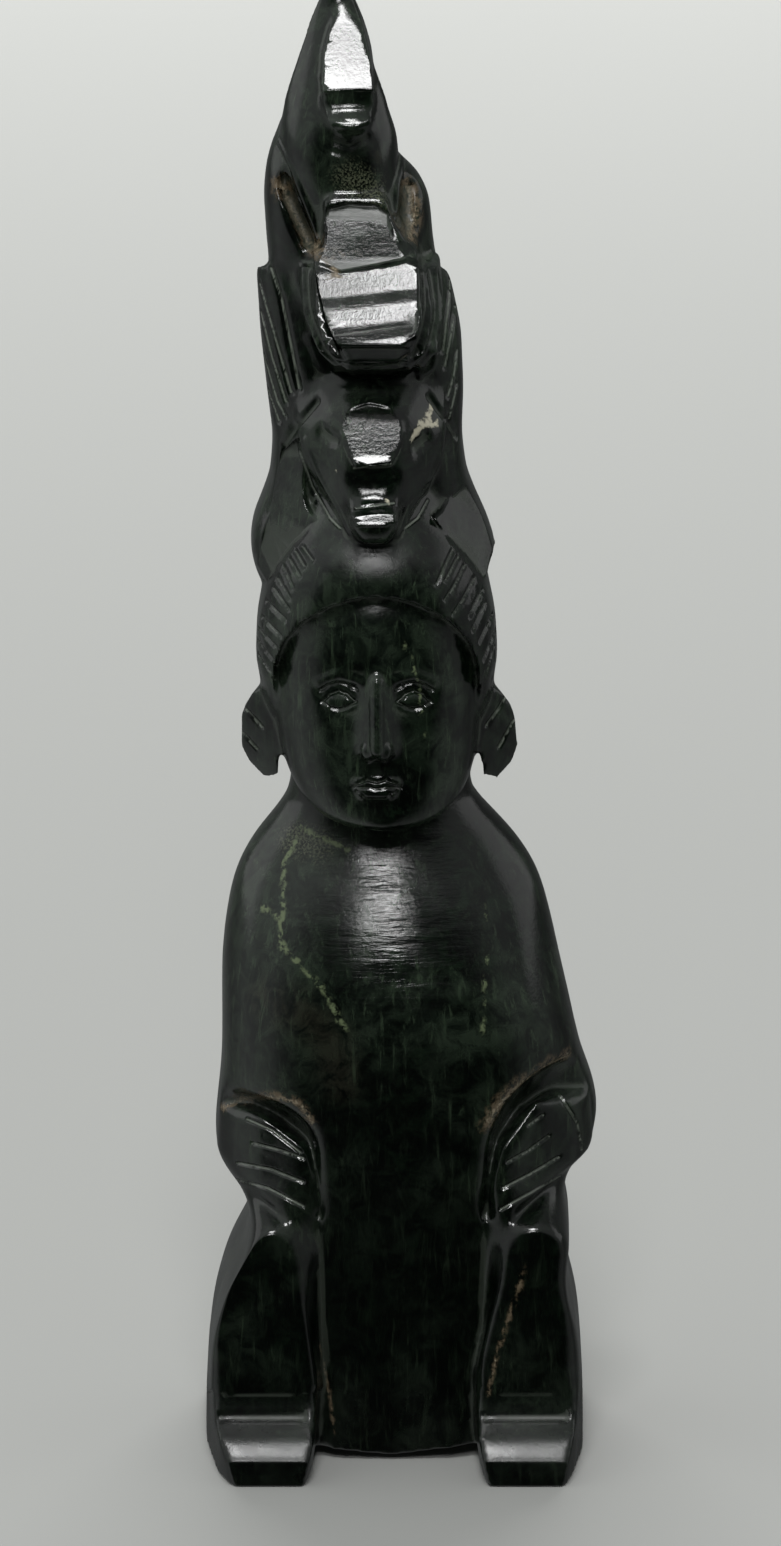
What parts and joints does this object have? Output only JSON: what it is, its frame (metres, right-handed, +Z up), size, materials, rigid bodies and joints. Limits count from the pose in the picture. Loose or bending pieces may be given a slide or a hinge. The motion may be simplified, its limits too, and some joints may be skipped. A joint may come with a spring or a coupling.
{
  "type": "totem pole carving",
  "caption": "Carved dark green stone totem: a squatting man carries a bear's head, a long-beaked bird with folded wings and a pointed crested head. Stands on its own base.",
  "frame": {"origin": "on the ground, under the middle of the carving's bounding box", "axes": "+Z up to the pointed tip, -Y the way the figures face, +X the man's left hand"},
  "size_m": [0.0866, 0.075, 0.3335],
  "materials": {
    "stone": "polished"
  },
  "bodies": {
    "root": {"totem": "stone"}
  },
  "joints": []
}
